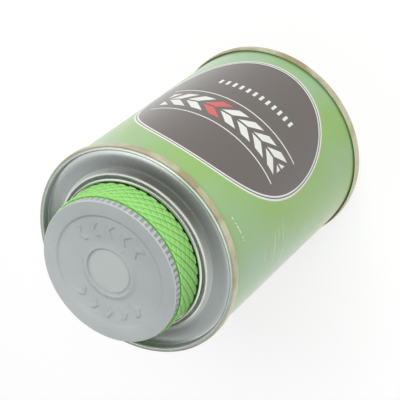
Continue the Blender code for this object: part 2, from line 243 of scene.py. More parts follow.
def pick(piece, parts, test):
    """In edit mode, select the verts, edges or faces whose middle passes a test."""
    bpy.context.tool_settings.mesh_select_mode = (parts == "verts", parts == "edges", parts == "faces")
    bpy.ops.mesh.select_all(action="DESELECT")
    mesh = bmesh.from_edit_mesh(piece.data)
    found = 0
    for part in getattr(mesh, parts):
        if parts == "verts":
            middle = part.co
        elif parts == "edges":
            middle = (part.verts[0].co + part.verts[1].co) / 2.0
        else:
            middle = part.calc_center_median()
        if test(middle):
            part.select_set(True)
            found += 1
    mesh.select_flush_mode()
    bmesh.update_edit_mesh(piece.data)
    if not found:
        raise RuntimeError(f"nothing was found to select on {piece.name}")


def draw_outline(name, corners, closed=True):
    """Extrude one vertex through (radius, height, rounding) corners at +X, and stay in edit mode."""
    clear_selection()
    bpy.ops.mesh.primitive_plane_add(size=MM)
    piece = bpy.context.object
    piece.name = name
    piece.data.name = name
    bpy.ops.object.mode_set(mode="EDIT")
    bpy.context.tool_settings.mesh_select_mode = (True, False, False)
    bpy.ops.mesh.select_all(action="SELECT")
    bpy.ops.mesh.merge(type="CENTER")
    bpy.ops.transform.translate(value=(corners[0][0], 0.0, corners[0][1]))
    for here, there in zip(corners, corners[1:]):
        step = (there[0] - here[0], 0.0, there[1] - here[1])
        bpy.ops.mesh.extrude_region_move(TRANSFORM_OT_translate={"value": step})
    if closed:
        ends = [Vector((corner[0], 0.0, corner[1])) for corner in (corners[0], corners[-1])]
        pick(piece, "verts", lambda middle: min((middle - end).length for end in ends) < MERGE_DISTANCE)
        bpy.ops.mesh.edge_face_add()
    for radius, height, rounding in corners:
        if rounding:
            corner = Vector((radius, 0.0, height))
            pick(piece, "verts", lambda middle: (middle - corner).length < MERGE_DISTANCE)
            bpy.ops.mesh.bevel(offset=rounding, segments=ROUNDING_STEPS, affect="VERTICES")
    return piece


def divide(piece, cuts, test):
    """Subdivide the outline's edges whose middle passes a test."""
    pick(piece, "edges", test)
    bpy.ops.mesh.subdivide(number_cuts=cuts)


def turn(piece, steps):
    """Spin the outline once round the tin's axis, close it, and leave edit mode."""
    bpy.ops.mesh.select_all(action="SELECT")
    bpy.ops.mesh.spin(steps=steps, angle=2.0 * pi, center=(0.0, 0.0, 0.0), axis=(0.0, 0.0, 1.0))
    bpy.ops.mesh.select_all(action="SELECT")
    bpy.ops.mesh.remove_doubles(threshold=MERGE_DISTANCE)
    bpy.ops.mesh.normals_make_consistent(inside=False)
    bpy.ops.object.mode_set(mode="OBJECT")


def apply_modifier(piece, name, kind, **settings):
    """Add a modifier with its settings and apply it."""
    modifier = piece.modifiers.new(name, kind)
    for setting, value in settings.items():
        setattr(modifier, setting, value)
    bpy.ops.object.modifier_apply(modifier=modifier.name)


def reshape(piece, rule):
    """Move each vertex to the radius and height that a rule gives for its radius, angle and height."""
    for vertex in piece.data.vertices:
        x, y, height = vertex.co
        radius = hypot(x, y)
        if radius > MERGE_DISTANCE:
            angle = atan2(y, x)
            radius, height = rule(radius, angle, height)
            vertex.co = (radius * cos(angle), radius * sin(angle), height)
    piece.data.update()


def finish_piece(piece, material, body, node, crease=35.0):
    """Shade a piece, give it its finish, and let it ride on its body in its node's place."""
    bpy.ops.object.shade_smooth_by_angle(angle=radians(crease))
    piece.data.materials.clear()
    piece.data.materials.append(material)
    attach(piece, body)
    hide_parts(node)


def smooth_step(share):
    """A share from 0 to 1 with soft ends."""
    share = min(1.0, max(0.0, share))
    return share * share * (3.0 - 2.0 * share)


def seam_corners(sizes, edge, inward, depth):
    """Corners of an end's seam hook: up its outer leg, over the rim and down its chuck wall.

    edge is the height of the seam's outer edge face, inward is +1 where the can lies above it, and
    depth is how far the chuck wall goes in.
    """
    half = sizes.end_sheet / 2.0
    outer = sizes.seam_radius - half
    fall = 0.1 * MM
    hem = 0.3 * MM
    return [
        (outer - hem, edge + inward * sizes.seam_height, 0.0),
        (outer, edge + inward * (sizes.seam_height - hem), hem),
        (outer, edge + inward * (half + fall), 0.3 * MM),
        (sizes.chuck_radius, edge + inward * half, 0.3 * MM),
        (sizes.chuck_radius, edge + inward * depth, 0.4 * MM),
    ]


def thread_share(sizes, angle, height, start):
    """Share of the full thread height at a place on a wall: 1 on the crest and 0 beside the thread."""
    full_turn = 2.0 * pi
    turns = 1.5
    fade = 0.5
    share = 0.0
    for lap in range(2):
        swept = (angle - start) % full_turn + full_turn * lap
        if swept <= full_turn * turns:
            crest = sizes.thread_foot + sizes.thread_pitch * swept / full_turn
            gap = min(1.0, abs(height - crest) / sizes.thread_width)
            end = min(1.0, swept / fade, (full_turn * turns - swept) / fade)
            share = max(share, (1.0 + cos(pi * gap)) / 2.0 * smooth_step(end))
    return share


def chevron_share(sizes, radius, angle):
    """Share of the full emboss height on the two rows of chevrons in the cap's face."""
    first_row = radians(-50.0)
    spacing = radians(22.0)
    outermost = 2
    half_height = 2.4 * MM
    half_stroke = 0.85 * MM
    point = 0.7
    soft = 0.45 * MM
    middle = (sizes.boss_radius + sizes.step_radius) / 2.0 - 0.2 * MM
    along = (angle - first_row + pi / 2.0) % pi - pi / 2.0
    number = max(-outermost, min(outermost, round(along / spacing)))
    across = abs(radius - middle)
    off = (along - number * spacing) * middle + point * (across - half_height / 2.0)
    reach = min(half_stroke - abs(off) / hypot(1.0, point), half_height - across)
    return smooth_step(reach / soft)


def band_ridge(sizes, angle, height):
    """Relief of the band from 0 in a groove to 1 on a ridge: a knurl of slanted grooves cut both ways."""
    slant_rise = 2.56 * MM
    cross_rise = 2.45 * MM
    slanted = abs(sin(pi * height / slant_rise - sizes.band_ridges * angle / 2.0))
    crossing = abs(sin(pi * height / cross_rise + sizes.band_ridges * angle / 2.0))
    return smooth_step(1.5 * slanted) * (0.5 + 0.5 * smooth_step(1.9 * crossing))


# Finishes

def put(tree, kind, sockets=None, **settings):
    """Add a node with its settings; a socket given a node or one of its outputs is linked to it."""
    node = tree.nodes.new(kind)
    for name, value in settings.items():
        setattr(node, name, value)
    for key, value in (sockets or {}).items():
        socket = node.inputs[key] if isinstance(key, int) else next(
            entry for entry in node.inputs if entry.enabled and entry.name == key
        )
        if isinstance(value, bpy.types.Node):
            value = next(entry for entry in value.outputs if entry.enabled)
        if isinstance(value, bpy.types.NodeSocket):
            tree.links.new(value, socket)
        else:
            socket.default_value = value
    return node


def new_finish(name):
    """Make a material with an empty node tree."""
    material = bpy.data.materials.new(name)
    material.use_nodes = True
    material.node_tree.nodes.clear()
    return material, material.node_tree


def from_axis(tree, place):
    """Distance of a place from the tin's axis."""
    level = put(tree, VECTOR, {0: place, 1: (1.0, 1.0, 0.0)}, operation="MULTIPLY")
    return put(tree, VECTOR, {0: level}, operation="LENGTH")


def litho_tinplate(colours, sizes, layout):
    """Tinplate printed by offset lithography and varnished: flat inks that gloss washes out at the edges."""
    material, tree = new_finish("lithographed_tinplate")
    place = put(tree, COORD).outputs["Object"]
    xyz = put(tree, XYZ, {0: place})
    angle = put(tree, MATH, {0: xyz.outputs["Y"], 1: xyz.outputs["X"]}, operation="ARCTAN2")
    turned = put(tree, MATH, {0: angle, 1: layout.panel_angle}, operation="SUBTRACT")
    across = put(tree, MATH, {0: turned, 1: sizes.wall_radius}, operation="MULTIPLY")
    up = put(tree, MATH, {0: xyz.outputs["Z"], 1: layout.panel_height}, operation="SUBTRACT")
    flat = put(tree, JOIN_XYZ, {0: across, 1: up})
    reach = put(tree, VECTOR, {0: flat}, operation="LENGTH")
    edge = 0.05 * MM

    # The green drifts between a warm and a cool tone over a few centimetres
    drift = put(tree, NOISE, {"Vector": place, "Scale": 1.0 / (38.0 * MM), "Detail": 2.0})
    cool = put(tree, RANGE, {"Value": drift, "From Min": 0.42, "From Max": 0.68})
    ink = put(
        tree, MIX, {"Factor": cool, "A": colours.wall_green, "B": colours.wall_mint}, data_type="RGBA"
    )

    # Round panel with a double border, from its outer edge inwards
    outline = 0.65 * MM
    gap = 0.4 * MM
    inline = 0.55 * MM
    layers = (
        (layout.panel_radius, colours.print_white),
        (layout.panel_radius - outline, colours.panel_dark),
        (layout.panel_radius - outline - gap, colours.print_white),
        (layout.panel_radius - outline - gap - inline, colours.panel_dark),
    )
    for radius, colour in layers:
        inside = put(tree, RANGE, {
            "Value": reach, "From Min": radius - edge, "From Max": radius + edge,
            "To Min": 1.0, "To Max": 0.0,
        })
        ink = put(tree, MIX, {"Factor": inside, "A": ink, "B": colour}, data_type="RGBA")

    # Strip of tyre-tread chevrons between two rules, with one block in red
    strip_height = 5.0 * MM
    strip_half = 4.6 * MM
    strip_reach = 23.5 * MM
    block_pitch = 6.2 * MM
    block_share = 0.62
    red_block = 1.0
    groove_half = 0.45 * MM
    level = put(tree, MATH, {0: up, 1: strip_height}, operation="SUBTRACT")
    aside = put(tree, MATH, {0: level}, operation="ABSOLUTE")
    slanted = put(tree, MATH, {0: aside, 1: across}, operation="ADD")
    blocks = put(tree, MATH, {0: slanted, 1: block_pitch}, operation="DIVIDE")
    share = put(tree, MATH, {0: blocks}, operation="FRACT")
    number = put(tree, MATH, {0: blocks}, operation="FLOOR")
    in_block = put(tree, MATH, {0: share, 1: block_share}, operation="LESS_THAN")
    off_middle = put(tree, MATH, {0: across}, operation="ABSOLUTE")
    in_width = put(tree, MATH, {0: off_middle, 1: strip_reach}, operation="LESS_THAN")
    in_height = put(tree, MATH, {0: aside, 1: strip_half}, operation="LESS_THAN")
    groove = put(tree, MATH, {0: aside, 1: groove_half}, operation="GREATER_THAN")
    in_strip = put(tree, MATH, {0: in_height, 1: groove}, operation="MULTIPLY")
    in_strip = put(tree, MATH, {0: in_strip, 1: in_width}, operation="MULTIPLY")
    in_strip = put(tree, MATH, {0: in_strip, 1: in_block}, operation="MULTIPLY")
    is_red = put(tree, MATH, {0: number, 1: red_block, 2: 0.5}, operation="COMPARE")
    block = put(
        tree, MIX, {"Factor": is_red, "A": colours.print_white, "B": colours.print_red}, data_type="RGBA"
    )
    ink = put(tree, MIX, {"Factor": in_strip, "A": ink, "B": block}, data_type="RGBA")

    # Thin rules above and below the strip, and a row of short bars under it
    rule_place = 7.6 * MM
    rule_half = 0.24 * MM
    rule_reach = 25.0 * MM
    from_rule = put(tree, MATH, {0: aside, 1: rule_place, 2: rule_half}, operation="COMPARE")
    rule_end = put(tree, MATH, {0: off_middle, 1: rule_reach}, operation="LESS_THAN")
    rule = put(tree, MATH, {0: from_rule, 1: rule_end}, operation="MULTIPLY")
    bar_height = -12.0 * MM
    bar_half = 1.4 * MM
    bar_reach = 15.0 * MM
    bar_pitch = 2.5 * MM
    bar_share = 0.4
    bar_row = put(tree, MATH, {0: up, 1: bar_height, 2: bar_half}, operation="COMPARE")
    bar_wave = put(tree, MATH, {0: across, 1: bar_pitch}, operation="DIVIDE")
    bar_wave = put(tree, MATH, {0: bar_wave}, operation="FRACT")
    bar = put(tree, MATH, {0: bar_wave, 1: bar_share}, operation="LESS_THAN")
    bar_end = put(tree, MATH, {0: off_middle, 1: bar_reach}, operation="LESS_THAN")
    bar = put(tree, MATH, {0: bar, 1: bar_row}, operation="MULTIPLY")
    bar = put(tree, MATH, {0: bar, 1: bar_end}, operation="MULTIPLY")
    lines = put(tree, MATH, {0: rule, 1: bar}, operation="MAXIMUM")
    ink = put(tree, MIX, {"Factor": lines, "A": ink, "B": colours.print_white}, data_type="RGBA")

    # A row of nicks through the ink under the upper seam
    nick_across = -29.0 * MM
    nick_up = 36.0 * MM
    nick_tilt = 0.22
    nick_pitch = 1.7 * MM
    nick_half = 0.2 * MM
    nick_reach = 4.4 * MM
    nick_along = put(tree, MATH, {0: across, 1: nick_across}, operation="SUBTRACT")
    nick_line = put(tree, MATH, {0: nick_along, 1: nick_tilt, 2: nick_up}, operation="MULTIPLY_ADD")
    nick_near = put(tree, MATH, {0: up, 1: nick_line, 2: nick_half}, operation="COMPARE")
    nick_end = put(tree, MATH, {0: nick_along, 1: 0.0, 2: nick_reach}, operation="COMPARE")
    nick_wave = put(tree, MATH, {0: nick_along, 1: nick_pitch}, operation="DIVIDE")
    nick_wave = put(tree, MATH, {0: nick_wave}, operation="FRACT")
    nick_break = put(tree, NOISE, {"Vector": flat, "Scale": 1.0 / (1.1 * MM), "Detail": 0.0})
    nick = put(tree, MATH, {0: nick_wave, 1: nick_break}, operation="LESS_THAN")
    nick = put(tree, MATH, {0: nick, 1: nick_near}, operation="MULTIPLY")
    nick = put(tree, MATH, {0: nick, 1: nick_end}, operation="MULTIPLY")

    # Slanted scuffs where the tin has rubbed on its neighbours
    scuff_place = put(tree, MAPPING, {
        "Vector": flat, "Rotation": (0.0, 0.0, radians(-62.0)),
        "Scale": (1.0 / (14.0 * MM), 1.0 / (0.7 * MM), 1.0),
    })
    scuff = put(tree, NOISE, {"Vector": scuff_place, "Scale": 1.0, "Detail": 3.0, "Roughness": 0.7})
    scuff = put(tree, RANGE, {"Value": scuff, "From Min": 0.56, "From Max": 0.72})
    scuff_middle = put(tree, VECTOR, {0: flat, 1: (-46.0 * MM, 17.0 * MM, 0.0)}, operation="DISTANCE")
    scuff_reach = put(tree, RANGE, {
        "Value": scuff_middle, "From Min": 5.0 * MM, "From Max": 13.0 * MM, "To Min": 0.8, "To Max": 0.0,
    })
    scuff = put(tree, MATH, {0: scuff, 1: scuff_reach}, operation="MULTIPLY")
    wear_and_ridge_light = put(tree, MATH, {0: nick, 1: scuff}, operation="MAXIMUM")
    ink = put(tree, MIX, {"Factor": wear_and_ridge_light, "A": ink, "B": colours.print_white}, data_type="RGBA")

    # Bare tin on a stripe along the side seam and on the inside of the wall
    from_seam = put(tree, MATH, {0: angle, 1: layout.seam_angle}, operation="SUBTRACT")
    from_seam = put(tree, MATH, {0: from_seam, 1: sizes.wall_radius}, operation="MULTIPLY")
    bare = put(tree, MATH, {0: from_seam, 1: 0.0, 2: layout.bare_margin}, operation="COMPARE")
    mid_sheet = sizes.wall_radius - sizes.wall_sheet / 2.0
    inner = put(tree, MATH, {0: from_axis(tree, place), 1: mid_sheet}, operation="LESS_THAN")
    bare = put(tree, MATH, {0: bare, 1: inner}, operation="MAXIMUM")
    ink = put(tree, MIX, {"Factor": bare, "A": ink, "B": colours.tin}, data_type="RGBA")

    # The sheet is a little wavy, and the varnish has a fine orange peel
    wave = put(tree, NOISE, {"Vector": place, "Scale": 1.0 / (26.0 * MM), "Detail": 1.0})
    peel = put(tree, NOISE, {"Vector": place, "Scale": 1.0 / (0.7 * MM), "Detail": 2.0})
    height = put(tree, MATH, {0: peel, 1: 0.02, 2: wave}, operation="MULTIPLY_ADD")
    bump = put(tree, BUMP, {"Strength": 0.5, "Distance": 0.35 * MM, "Height": height})
    rough = put(tree, RANGE, {"Value": peel, "To Min": 0.26, "To Max": 0.38})
    shader = put(tree, PRINCIPLED, {
        "Base Color": ink, "Metallic": bare, "Roughness": rough, "Coat Weight": 0.6, "Coat Roughness": 0.16,
        "Normal": bump,
    })
    put(tree, OUTPUT, {"Surface": shader})
    return material


def bare_tinplate(name, sheet, colours, lacquer_radius):
    """Bright tinplate, cold rolled and pressed: a satin grey metal with a fine one-way grain.

    Outside lacquer_radius the metal is under patchy gold lacquer.
    """
    material, tree = new_finish(name)
    place = put(tree, COORD).outputs["Object"]
    grain_scale = (1.0 / (9.0 * MM), 1.0 / (0.35 * MM), 1.0 / (0.35 * MM))
    along = put(tree, MAPPING, {"Vector": place, "Scale": grain_scale})
    grain = put(tree, NOISE, {"Vector": along, "Scale": 1.0, "Detail": 3.0, "Roughness": 0.6})
    cloud = put(tree, NOISE, {"Vector": place, "Scale": 1.0 / (12.0 * MM), "Detail": 3.0})
    rough = put(tree, RANGE, {
        "Value": cloud, "From Min": 0.3, "From Max": 0.7, "To Min": 0.16, "To Max": 0.24,
    })
    rough = put(tree, MATH, {0: grain, 1: 0.06, 2: rough}, operation="MULTIPLY_ADD")
    tint = put(tree, RANGE, {
        "Value": grain, "From Min": 0.3, "From Max": 0.7, "To Min": 0.93, "To Max": 1.0,
    })
    colour = put(tree, VECTOR, {0: sheet[:3], "Scale": tint}, operation="SCALE")
    # The lacquer has a patchy edge and thicker places, and dulls the metal under it
    ring = from_axis(tree, place)
    patchy = put(tree, MATH, {0: cloud, 1: 0.3 * MM, 2: ring}, operation="MULTIPLY_ADD")
    outside = put(tree, RANGE, {
        "Value": patchy, "From Min": lacquer_radius - 0.05 * MM, "From Max": lacquer_radius + 0.3 * MM,
    })
    thick = put(tree, RANGE, {"Value": cloud, "From Min": 0.46, "From Max": 0.62})
    lacquer = put(
        tree, MIX, {"Factor": thick, "A": colours.seam_lacquer, "B": colours.lacquer_dark}, data_type="RGBA"
    )
    colour = put(tree, MIX, {"Factor": outside, "A": colour, "B": lacquer}, data_type="RGBA")
    bump = put(tree, BUMP, {"Strength": 0.15, "Distance": 0.02 * MM, "Height": grain})
    metal = put(tree, RANGE, {"Value": outside, "To Min": 1.0, "To Max": 0.45})
    shader = put(tree, PRINCIPLED, {
        "Base Color": colour, "Metallic": metal, "Roughness": rough, "Normal": bump,
    })
    put(tree, OUTPUT, {"Surface": shader})
    return material


def cap_enamel(colours, sizes):
    """Stoved grey enamel on a pressed cap: satin and finely stippled, with painted highlights on the ribs
    and painted shade to one side.
    """
    material, tree = new_finish("stoved_grey_enamel")
    place = put(tree, COORD).outputs["Object"]
    cloud = put(tree, NOISE, {"Vector": place, "Scale": 1.0 / (14.0 * MM), "Detail": 3.0})
    stipple = put(tree, NOISE, {"Vector": place, "Scale": 1.0 / (0.5 * MM), "Detail": 2.0})
    fleck = put(tree, NOISE, {"Vector": place, "Scale": 1.0 / (1.4 * MM), "Detail": 1.0})
    shade = put(tree, RANGE, {
        "Value": cloud, "From Min": 0.3, "From Max": 0.7, "To Min": 0.94, "To Max": 1.03,
    })
    # Painted light and shade: the enamel is painted darker towards -Y and lighter towards +Y
    over = put(tree, XYZ, {0: place}).outputs["Y"]
    side = put(tree, RANGE, {
        "Value": over, "From Min": -sizes.cap_radius, "From Max": sizes.cap_radius,
        "To Min": 0.86, "To Max": 1.14,
    })
    shade = put(tree, MATH, {0: shade, 1: side}, operation="MULTIPLY")
    colour = put(tree, VECTOR, {0: colours.cap_grey[:3], "Scale": shade}, operation="SCALE")
    ring = from_axis(tree, place)
    # Painted highlight: the crests of the ribs are painted paler, and the face is also made paler towards
    # its middle
    crest = put(tree, RANGE, {
        "Value": ring,
        "From Min": sizes.cap_radius - sizes.rib_depth, "From Max": sizes.cap_radius - 0.1 * MM,
    })
    middle = put(tree, RANGE, {
        "Value": ring, "From Min": 6.0 * MM, "From Max": sizes.boss_radius, "To Min": 0.4, "To Max": 0.0,
    })
    highlight_and_pale_middle = put(tree, MATH, {0: crest, 1: middle}, operation="MAXIMUM")
    colour = put(tree, MIX, {"Factor": highlight_and_pale_middle, "A": colour, "B": colours.cap_pale_highlight}, data_type="RGBA")
    spot = put(tree, RANGE, {"Value": fleck, "From Min": 0.74, "From Max": 0.8, "To Max": 0.35})
    colour = put(tree, MIX, {"Factor": spot, "A": colour, "B": colours.compound}, data_type="RGBA")
    rough = put(tree, RANGE, {"Value": stipple, "To Min": 0.36, "To Max": 0.5})
    bump = put(tree, BUMP, {"Strength": 0.25, "Distance": 0.03 * MM, "Height": stipple})
    shader = put(tree, PRINCIPLED, {"Base Color": colour, "Roughness": rough, "Normal": bump})
    put(tree, OUTPUT, {"Surface": shader})
    return material


def band_plastic(colours):
    """Moulded soft PVC: green with a waxy gloss, painted lighter on the ridges and darker in the grooves as
    light and shade.
    """
    material, tree = new_finish("moulded_green_pvc")
    place = put(tree, COORD).outputs["Object"]
    # Painted light and shade: the ridges get the lighter green and the grooves the darker one, with random
    # tone on top
    ridge = put(tree, ATTRIBUTE, attribute_name="ridge").outputs["Fac"]
    cloud = put(tree, NOISE, {"Vector": place, "Scale": 1.0 / (3.0 * MM), "Detail": 3.0})
    wear_and_ridge_light = put(tree, MATH, {0: cloud, 1: 0.5, 2: ridge}, operation="MULTIPLY_ADD")
    high = put(tree, RANGE, {"Value": wear_and_ridge_light, "From Min": 0.2, "From Max": 0.85})
    colour = put(
        tree, MIX, {"Factor": high, "A": colours.band_shade, "B": colours.band_green}, data_type="RGBA"
    )
    skin = put(tree, NOISE, {"Vector": place, "Scale": 1.0 / (0.35 * MM), "Detail": 2.0})
    rough = put(tree, RANGE, {"Value": skin, "To Min": 0.4, "To Max": 0.6})
    bump = put(tree, BUMP, {"Strength": 0.3, "Distance": 0.05 * MM, "Height": skin})
    shader = put(tree, PRINCIPLED, {"Base Color": colour, "Roughness": rough, "Normal": bump})
    put(tree, OUTPUT, {"Surface": shader})
    return material


def sealing_compound(colours):
    """Latex sealing compound, flowed in and cured: a dull rubbery skin with small blisters."""
    material, tree = new_finish("cured_latex_compound")
    place = put(tree, COORD).outputs["Object"]
    blister = put(tree, NOISE, {"Vector": place, "Scale": 1.0 / (1.2 * MM), "Detail": 2.0})
    shade = put(tree, RANGE, {"Value": blister, "To Min": 0.75, "To Max": 1.2})
    colour = put(tree, VECTOR, {0: colours.compound[:3], "Scale": shade}, operation="SCALE")
    bump = put(tree, BUMP, {"Strength": 0.4, "Distance": 0.1 * MM, "Height": blister})
    shader = put(tree, PRINCIPLED, {"Base Color": colour, "Roughness": 0.7, "Normal": bump})
    put(tree, OUTPUT, {"Surface": shader})
    return material


def pulpboard(colours):
    """Waxed pulpboard, die cut: a pale matt disc with short fibres, stained where the rim has pressed it."""
    material, tree = new_finish("waxed_pulpboard")
    place = put(tree, COORD).outputs["Object"]
    fibre_scale = (1.0 / (1.6 * MM), 1.0 / (0.3 * MM), 1.0 / (0.3 * MM))
    along = put(tree, MAPPING, {"Vector": place, "Scale": fibre_scale})
    fibre = put(tree, NOISE, {
        "Vector": along, "Scale": 1.0, "Detail": 4.0, "Roughness": 0.7, "Distortion": 1.5,
    })
    shade = put(tree, RANGE, {
        "Value": fibre, "From Min": 0.3, "From Max": 0.7, "To Min": 0.86, "To Max": 1.03,
    })
    colour = put(tree, VECTOR, {0: colours.board[:3], "Scale": shade}, operation="SCALE")
    ring = from_axis(tree, place)
    stain = put(tree, MATH, {0: fibre, 1: 1.2 * MM, 2: ring}, operation="MULTIPLY_ADD")
    stain = put(tree, RANGE, {"Value": stain, "From Min": 18.6 * MM, "From Max": 20.2 * MM, "To Max": 0.35})
    colour = put(tree, MIX, {"Factor": stain, "A": colour, "B": colours.cement}, data_type="RGBA")
    bump = put(tree, BUMP, {"Strength": 0.4, "Distance": 0.06 * MM, "Height": fibre})
    shader = put(tree, PRINCIPLED, {"Base Color": colour, "Roughness": 0.75, "Normal": bump})
    put(tree, OUTPUT, {"Surface": shader})
    return material


def plated_steel(colours):
    """Drawn, zinc-plated steel: a cool grey metal with draw lines along its length and dull clouds."""
    material, tree = new_finish("zinc_plated_steel")
    place = put(tree, COORD).outputs["Object"]
    draw_scale = (1.0 / (0.25 * MM), 1.0 / (0.25 * MM), 1.0 / (7.0 * MM))
    along = put(tree, MAPPING, {"Vector": place, "Scale": draw_scale})
    line = put(tree, NOISE, {"Vector": along, "Scale": 1.0, "Detail": 2.0})
    cloud = put(tree, NOISE, {"Vector": place, "Scale": 1.0 / (4.0 * MM), "Detail": 3.0})
    shade = put(tree, RANGE, {
        "Value": cloud, "From Min": 0.3, "From Max": 0.7, "To Min": 0.85, "To Max": 1.0,
    })
    colour = put(tree, VECTOR, {0: colours.steel[:3], "Scale": shade}, operation="SCALE")
    rough = put(tree, RANGE, {"Value": cloud, "To Min": 0.22, "To Max": 0.42})
    bump = put(tree, BUMP, {"Strength": 0.2, "Distance": 0.03 * MM, "Height": line})
    shader = put(tree, PRINCIPLED, {
        "Base Color": colour, "Metallic": 1.0, "Roughness": rough, "Normal": bump,
    })
    put(tree, OUTPUT, {"Surface": shader})
    return material


def hog_bristle(colours):
    """Dark hog bristle: stiff hairs, nearly black at the root and pale with dried cement at the tip."""
    material, tree = new_finish("dark_hog_bristle")
    place = put(tree, COORD).outputs["Object"]
    height = put(tree, XYZ, {0: place}).outputs["Z"]
    hair_scale = (1.0 / (0.5 * MM), 1.0 / (0.5 * MM), 1.0 / (9.0 * MM))
    strand = put(tree, MAPPING, {"Vector": place, "Scale": hair_scale})
    tone = put(tree, NOISE, {"Vector": strand, "Scale": 1.0, "Detail": 2.0})
    ragged = put(tree, MATH, {0: tone, 1: 9.0 * MM, 2: height}, operation="MULTIPLY_ADD")
    tip = put(tree, RANGE, {
        "Value": ragged, "From Min": TUFT_LOW.z + 3.0 * MM, "From Max": TUFT_LOW.z + 15.0 * MM,
        "To Min": 0.8, "To Max": 0.0,
    })
    colour = put(
        tree, MIX, {"Factor": tip, "A": colours.bristle_dark, "B": colours.bristle_tip}, data_type="RGBA"
    )
    rough = put(tree, RANGE, {"Value": tone, "To Min": 0.35, "To Max": 0.6})
    shader = put(tree, PRINCIPLED, {"Base Color": colour, "Roughness": rough})
    put(tree, OUTPUT, {"Surface": shader})
    return material


def rubber_cement(colours):
    """Rubber solution: thick amber syrup with a wet gloss and slow swirls."""
    material, tree = new_finish("rubber_solution")
    place = put(tree, COORD).outputs["Object"]
    swirl = put(tree, NOISE, {"Vector": place, "Scale": 1.0 / (9.0 * MM), "Detail": 2.0, "Distortion": 2.0})
    shade = put(tree, RANGE, {
        "Value": swirl, "From Min": 0.3, "From Max": 0.7, "To Min": 0.8, "To Max": 1.1,
    })
    colour = put(tree, VECTOR, {0: colours.cement[:3], "Scale": shade}, operation="SCALE")
    bump = put(tree, BUMP, {"Strength": 0.3, "Distance": 0.3 * MM, "Height": swirl})
    shader = put(tree, PRINCIPLED, {
        "Base Color": colour, "Roughness": 0.1, "Coat Weight": 0.5, "Subsurface Weight": 0.2,
        "Subsurface Radius": (4.0 * MM, 2.0 * MM, 0.6 * MM), "Normal": bump,
    })
    put(tree, OUTPUT, {"Surface": shader})
    return material


# Pieces

class TIN_OT_can_wall(bpy.types.Operator):
    """Roll the can's printed wall, with the raised lap of its welded side seam"""

    bl_idname = "tin.can_wall"
    bl_label = "Can Wall"

    def execute(self, context):
        scene = context.scene
        sizes = scene.tin_sizes
        layout = scene.tin_print
        outer = sizes.wall_radius
        inner = outer - sizes.wall_sheet
        lap_low = sizes.seam_height + MM
        lap_high = sizes.rim_height - lap_low
        wall = draw_outline("printed_wall", [
            (outer, WALL_HIGH.z, 0.0),
            (outer, lap_high, 0.0),
            (outer, lap_low, 0.0),
            (outer, WALL_LOW.z, 0.0),
            (inner, WALL_LOW.z, 0.0),
            (inner, WALL_HIGH.z, 0.0),
        ])
        turn(wall, WALL_STEPS)
        lap_half = 2.1 * MM
        lap_rise = 0.2 * MM

        def on_lap(middle):
            off = (atan2(middle.y, middle.x) - layout.seam_angle) * outer
            outside = hypot(middle.x, middle.y) > outer - sizes.wall_sheet / 2.0
            return outside and abs(off) < lap_half and lap_low < middle.z < lap_high

        bpy.ops.object.mode_set(mode="EDIT")
        pick(wall, "faces", on_lap)
        bpy.ops.mesh.extrude_region_move()
        swell = (outer + lap_rise) / outer
        bpy.ops.transform.resize(value=(swell, swell, 1.0), center_override=(0.0, 0.0, 0.0))
        bpy.ops.object.mode_set(mode="OBJECT")
        finish = litho_tinplate(scene.tin_colours, sizes, layout)
        finish_piece(wall, finish, "can", "can_body")
        return {"FINISHED"}


class TIN_OT_can_ends(bpy.types.Operator):
    """Press the two ends: seam hooks, panels, the lower end's bead and the upper end's shoulder"""

    bl_idname = "tin.can_ends"
    bl_label = "Can Ends"

    def execute(self, context):
        sizes = context.scene.tin_sizes
        colours = context.scene.tin_colours
        lacquer_edge = sizes.seam_radius - 0.45 * MM
        tin = bare_tinplate("cold_rolled_tinplate", colours.tin, colours, lacquer_edge)
        level = sizes.shoulder_top - sizes.end_sheet / 2.0
        panel = sizes.rim_height - sizes.panel_depth
        # The shoulder is dished, and runs level for a little under the neck's flared foot
        slope_steps = 6
        slope_share = 0.72
        upper_corners = seam_corners(sizes, sizes.rim_height, -1.0, sizes.panel_depth)
        for index in range(slope_steps + 1):
            share = slope_share * index / slope_steps
            radius = sizes.shoulder_foot + (sizes.shoulder_crest - sizes.shoulder_foot) * share
            upper_corners.append((radius, panel + (level - panel) * share ** 2, 0.0))
        under_foot = panel + (level - panel) * slope_share ** 2
        upper_corners += [
            (sizes.shoulder_crest + 0.3 * MM, under_foot, 0.2 * MM),
            (sizes.shoulder_crest - 0.4 * MM, level, 0.3 * MM),
            (sizes.collar_hole, level, 0.0),
        ]
        bead_radius = 27.3 * MM
        bead_half = 1.3 * MM
        bead_depth = 0.6 * MM
        lower_corners = seam_corners(sizes, 0.0, 1.0, sizes.countersink) + [
            (bead_radius + 1.5 * bead_half, sizes.countersink, 0.5 * MM),
            (bead_radius + 0.6 * bead_half, sizes.countersink - bead_depth, 0.5 * MM),
            (bead_radius - 0.6 * bead_half, sizes.countersink - bead_depth, 0.5 * MM),
            (bead_radius - 1.5 * bead_half, sizes.countersink, 0.5 * MM),
            (0.0, sizes.countersink, 0.0),
        ]
        for name, corners, node in (
            ("upper_end", upper_corners, "top_end"),
            ("lower_end", lower_corners, "bottom_end"),
        ):
            end = draw_outline(name, corners, closed=False)
            turn(end, WALL_STEPS)
            apply_modifier(
                end, "sheet", "SOLIDIFY", thickness=sizes.end_sheet, offset=0.0, use_even_offset=True
            )
            finish_piece(end, tin, "can", node)
        return {"FINISHED"}


class TIN_OT_seals(bpy.types.Operator):
    """Give the sealing rings inside the seams and under the neck their finish"""

    bl_idname = "tin.seals"
    bl_label = "Seals"

    def execute(self, context):
        compound = sealing_compound(context.scene.tin_colours)
        for node in ("bottom_seam_compound", "top_seam_compound", "neck_seal_ring"):
            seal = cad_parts[node]
            seal.data.materials.clear()
            seal.data.materials.append(compound)
        return {"FINISHED"}


